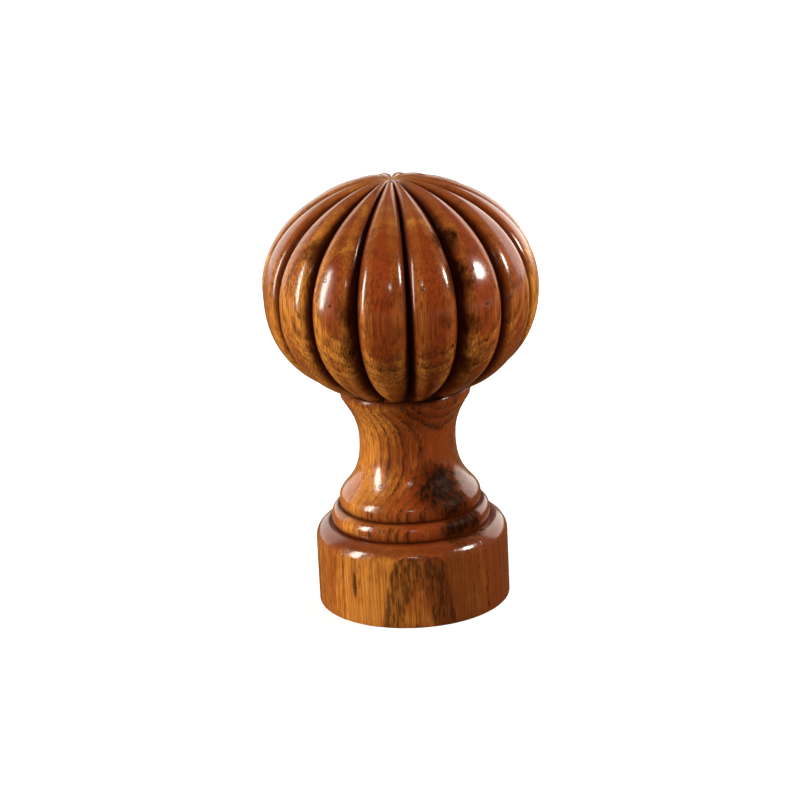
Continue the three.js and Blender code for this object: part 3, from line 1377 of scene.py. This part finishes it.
@dataclass
class NewelCap:
    """The whole cap: the turned body and the carved ball as one closed mesh."""

    body: TurnedBody = field(default_factory=TurnedBody)
    ball: ReededBall = field(default_factory=ReededBall)
    finish: OakFinish = field(default_factory=OakFinish)
    # How far the painted shade reaches from each inner corner, in millimetres.
    corner_shade_reaches: tuple[float, float, float] = (1.5, 1.5, 2.6)
    # Reach of the pole's wear and painted sheen, and how much of the groove shade it clears.
    wear_and_sheen_radius: float = 6.0
    wear_and_sheen_clears: float = 0.8
    # Height and reach of the painted shade on the base's shoulder.
    shoulder_shade_height: float = 34.6
    shoulder_shade_reach: float = 2.6
    crease_deg: float = 38.0

    @property
    def ball_middle(self) -> float:
        """Height of the ball's middle."""
        return self.body.collar_top + self.ball.seat_drop()

    def body_points(self) -> tuple[np.ndarray, np.ndarray]:
        """The turned body on the mesh's grid.

        Returns:
            Points, row by row and column by column, each the profile's radius turned by the
            column's azimuth, and the weight of painted shade near an inner corner, which falls as a
            bell curve of the distance along the profile.
        """
        profile = self.body.profile()
        _, azimuth = self.ball.columns()
        radius, height = profile[:, :1], profile[:, 1:]
        around = np.broadcast_to(height, (len(profile), len(azimuth)))
        points = np.stack([radius * np.sin(azimuth), -radius * np.cos(azimuth), around], axis=2)
        gaps = profile[:, None, :] - self.body.shaded_corners()[None, :, :]
        shares = np.hypot(gaps[..., 0], gaps[..., 1]) / self.corner_shade_reaches
        # Painted shade near the inner corners.
        hollow = np.exp(-(shares.min(axis=1) ** 2))
        return points, np.broadcast_to(hollow[:, None], around.shape)

    def grid(self) -> tuple[np.ndarray, dict[str, np.ndarray]]:
        """The mesh's rings from the underside to the pole.

        Returns:
            Points in millimetres, row by row and column by column, and the named weights: the
            painted groove shade and the edge as on the ball, with painted shade also in the body's
            inner corners, the pole's wear with a painted sheen, which clears most of the groove
            shade there, and painted shade on the base's shoulder. The last two fall as bell curves
            of the distance.
        """
        low, hollow_low = self.body_points()
        high, weights_high = self.ball.carved()
        high = high + np.array([0, 0, self.ball_middle])
        points = np.concatenate([low, high])
        from_pole = points[..., :2] - np.array(self.ball.pole_shift)
        from_axis = np.hypot(from_pole[..., 0], from_pole[..., 1])
        height = points[..., 2]
        # Wear and painted sheen round the pole, on the ball only.
        wear_and_sheen = np.exp(-((from_axis / self.wear_and_sheen_radius) ** 2)) * (height > self.ball_middle)
        hollow = np.concatenate([hollow_low, weights_high["hollow"]])
        weights = {
            "hollow": hollow * (1 - self.wear_and_sheen_clears * wear_and_sheen),
            "edge": np.concatenate([np.zeros_like(hollow_low), weights_high["edge"]]),
            "wear_and_sheen": wear_and_sheen,
            # Painted shade on the base's shoulder, by height.
            "shoulder_shade": np.exp(-(((height - self.shoulder_shade_height) / self.shoulder_shade_reach) ** 2)),
        }
        return points, weights

    def mesh(self) -> bpy.types.Mesh:
        """The closed mesh: quads between the rings and a fan of triangles at each pole.

        Returns:
            The mesh in metres, smooth but for its creases, with its named weights.
        """
        points, weights = self.grid()
        rows, columns, _ = points.shape
        top = self.ball_middle + self.ball.top_rise - self.ball.dimple_depth
        poles = np.array([[0, 0, 0], [*self.ball.pole_shift, top]], dtype=float)
        vertices = np.concatenate([points.reshape(-1, 3), poles]) * METRES_PER_MM
        ring = np.arange(columns)
        after = (ring + 1) % columns
        start = (np.arange(rows - 1) * columns)[:, None]
        corners = [start + ring, start + after, start + columns + after, start + columns + ring]
        quads = np.stack(corners, axis=2).reshape(-1, 4)
        under, over = rows * columns, rows * columns + 1
        last = (rows - 1) * columns
        fans = np.concatenate(
            [
                np.stack([np.full(columns, under), after, ring], axis=1),
                np.stack([np.full(columns, over), last + ring, last + after], axis=1),
            ]
        )
        made = bpy.data.meshes.new(NODE)
        made.vertices.add(len(vertices))
        made.vertices.foreach_set("co", vertices.ravel())
        loops = np.concatenate([quads.ravel(), fans.ravel()])
        made.loops.add(len(loops))
        made.loops.foreach_set("vertex_index", loops)
        sizes = np.concatenate([np.full(len(quads), 4), np.full(len(fans), 3)])
        made.polygons.add(len(sizes))
        made.polygons.foreach_set("loop_start", np.concatenate([[0], np.cumsum(sizes)[:-1]]))
        made.update(calc_edges=True)
        for name, weight in weights.items():
            values = np.concatenate([weight.ravel(), weight[0, :1], weight[-1, :1]])
            made.attributes.new(name, "FLOAT", "POINT").data.foreach_set("value", values)
        made.shade_smooth()
        made.set_sharp_from_angle(angle=math.radians(self.crease_deg))
        return made

    def build(self) -> bpy.types.Object:
        """Builds the cap, which rides on the part and replaces its plain solid.

        Returns:
            The finished object.
        """
        made = bpy.data.objects.new("newel_cap_oak", self.mesh())
        bpy.context.scene.collection.objects.link(made)
        made.data.materials.append(VarnishedOak(self.finish).material())
        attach(made, BODY)
        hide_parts(NODE)
        return made


@dataclass(frozen=True)
class Softbox:
    """A round or oval light that faces the object. Angles as the object sees it, in degrees.

    The azimuth counts from the camera towards its right, and the radiance is in watts per square
    metre and steradian.
    """

    name: str
    azimuth_deg: float
    elevation_deg: float
    width_deg: float
    height_deg: float
    radiance: float
    distance: float = 1.6
    colour: Colour = (1.0, 0.94, 0.85)

    def place(self, target: Vector) -> bpy.types.Object:
        """Hangs the light at its place, turned to the target.

        Args:
            target: The place that it faces, in metres.

        Returns:
            The light.
        """
        turn = math.radians(self.azimuth_deg + CAMERA_AZIMUTH_DEG)
        rise = math.radians(self.elevation_deg)
        away = Vector(
            (math.sin(turn) * math.cos(rise), -math.cos(turn) * math.cos(rise), math.sin(rise))
        )
        data = bpy.data.lights.new(self.name, "AREA")
        data.shape = "ELLIPSE"
        data.size = 2 * self.distance * math.tan(math.radians(self.width_deg / 2))
        data.size_y = 2 * self.distance * math.tan(math.radians(self.height_deg / 2))
        data.energy = self.radiance * math.pi * data.size * data.size_y * math.pi / 4
        data.color = self.colour
        lamp = bpy.data.objects.new(self.name, data)
        lamp.location = target + away * self.distance
        lamp.rotation_mode = "QUATERNION"
        lamp.rotation_quaternion = away.to_track_quat("Z", "Y")
        bpy.context.scene.collection.objects.link(lamp)
        return lamp


@dataclass
class Studio:
    """A pale floor, soft lights and a surround that is dim in front and pale behind."""

    floor_size: float = 14.0
    floor_height: float = -0.0001
    floor_colour: Colour = (0.86, 0.86, 0.86)
    floor_glow: float = 0.5
    floor_roughness: float = 0.9
    near_bounce: Colour = (0.13, 0.08, 0.04)
    far_bounce: Colour = (0.60, 0.55, 0.47)
    bounce_metres: Rise = (0.5, 1.6)
    surround_front: float = 0.02
    surround_back: float = 0.20
    surround_rise: Rise = (-0.1, 0.5)
    lamps: tuple[Softbox, ...] = (
        Softbox("window_left", -72, 15, 13, 42, 34.0),
        Softbox("window_right", 74, 27, 10, 14, 104.0),
        Softbox("front_lamp", 0, 29, 5, 5, 34.0),
        Softbox("card_right", 138, 15, 52, 52, 2.6, 2.4),
        Softbox("card_left", -143, 14, 56, 54, 1.7, 2.4),
    )

    def floor(self) -> bpy.types.Object:
        """A flat square floor: pale to the eye, and brown near the cap in the varnish.

        Returns:
            The floor, marked as a part of the stage.
        """
        half = self.floor_size / 2
        corners = np.array([[-1, -1, 0], [1, -1, 0], [1, 1, 0], [-1, 1, 0]]) * half
        corners[:, 2] = self.floor_height
        data = bpy.data.meshes.new("floor")
        data.from_pydata(corners.tolist(), [], [(0, 1, 2, 3)])
        paper = bpy.data.materials.new("pale_paper")
        paper.use_nodes = True
        shader = paper.node_tree.nodes["Principled BSDF"]
        shader.inputs["Roughness"].default_value = self.floor_roughness
        shader.inputs["Specular IOR Level"].default_value = 0.0
        sheet = NodeSheet(paper.node_tree)
        seen = sheet.node("ShaderNodeLightPath").outputs["Is Camera Ray"]
        away = sheet.measure("LENGTH", sheet.node("ShaderNodeTexCoord").outputs["Object"])
        reach = sheet.step(away, *self.bounce_metres)
        bounce = sheet.tint(reach, self.near_bounce, self.far_bounce)
        colour = sheet.tint(seen, bounce, self.floor_colour)
        sheet.feed(shader.inputs["Base Color"], colour)
        shader.inputs["Emission Color"].default_value = (1, 1, 1, 1)
        glow = sheet.math("MULTIPLY", seen, self.floor_glow)
        sheet.feed(shader.inputs["Emission Strength"], glow)
        data.materials.append(paper)
        made = bpy.data.objects.new("floor", data)
        bpy.context.scene.collection.objects.link(made)
        return made

    def surround(self) -> None:
        """Sets the sky: white to the eye, and dim in the varnish, dimmest on the camera's side."""
        world = bpy.data.worlds.new("surround")
        world.use_nodes = True
        sheet = NodeSheet(world.node_tree)
        turn = math.radians(CAMERA_AZIMUTH_DEG)
        behind = (-math.sin(turn), math.cos(turn), 0.0)
        way = sheet.node("ShaderNodeTexCoord").outputs["Generated"]
        share = sheet.step(sheet.measure("DOT_PRODUCT", way, behind), *self.surround_rise)
        strength = sheet.blend(share, self.surround_front, self.surround_back)
        seen = sheet.node("ShaderNodeLightPath").outputs["Is Camera Ray"]
        strength = sheet.blend(seen, strength, 1.0)
        background = world.node_tree.nodes["Background"]
        sheet.feed(background.inputs["Strength"], strength)
        background.inputs["Color"].default_value = (1, 1, 1, 1)
        bpy.context.scene.world = world

    def light(self, target: Vector) -> None:
        """Hangs the lamps and sets the surround.

        Args:
            target: The place that the lamps face, in metres.
        """
        for lamp in self.lamps:
            lamp.place(target)
        self.surround()


@dataclass
class PhotoCamera:
    """The camera as it stood for the photograph, in millimetres and pixels of an 800 px frame."""

    level_distance: float = 1057.9
    height: float = 428.7
    aim_height: float = 90.6
    focal_pixels: float = 2530.8
    frame_pixels: float = 800.0
    axis_offset_pixels: float = 5.7
    roll_deg: float = 2.8
    sensor_mm: float = 36.0

    def place(self) -> bpy.types.Object:
        """Makes the scene's camera, aimed so that the axis leans as in the photograph.

        Returns:
            The camera.
        """
        turn = math.radians(CAMERA_AZIMUTH_DEG)
        level = Vector((math.sin(turn), -math.cos(turn), 0)) * self.level_distance
        eye = level + Vector((0, 0, self.height))
        forward = (Vector((0, 0, self.aim_height)) - eye).normalized()
        right = forward.cross(Vector((0, 0, 1))).normalized()
        forward = (forward - right * (self.axis_offset_pixels / self.focal_pixels)).normalized()
        right = forward.cross(Vector((0, 0, 1))).normalized()
        upright = right.cross(forward)
        roll = math.radians(self.roll_deg)
        side = right * math.cos(roll) - upright * math.sin(roll)
        top = upright * math.cos(roll) + right * math.sin(roll)
        data = bpy.data.cameras.new("photo_camera")
        data.sensor_width = self.sensor_mm
        data.lens = self.focal_pixels * self.sensor_mm / self.frame_pixels
        made = bpy.data.objects.new("photo_camera", data)
        made.matrix_world = Matrix.Translation(eye * METRES_PER_MM) @ Matrix(
            (side, top, -forward)
        ).transposed().to_4x4()
        bpy.context.scene.collection.objects.link(made)
        bpy.context.scene.camera = made
        return made


def main() -> None:
    """Builds the cap, the studio and the camera, and reports each."""
    logging.basicConfig(level=logging.INFO, format="%(message)s")
    cap = NewelCap().build()
    triangles = sum(len(face.vertices) - 2 for face in cap.data.polygons)
    LOG.info("%s: %d vertices, %d triangles", cap.name, len(cap.data.vertices), triangles)
    studio = Studio()
    LOG.info("stage: %s", studio.floor().name)
    low, high = CAD_BOX
    studio.light((low + high) / 2)
    LOG.info("lights: %s", ", ".join(lamp.name for lamp in studio.lamps))
    LOG.info("camera: %s", PhotoCamera().place().name)
    bpy.context.scene.view_settings.view_transform = "Standard"


if __name__ == "__main__":
    main()
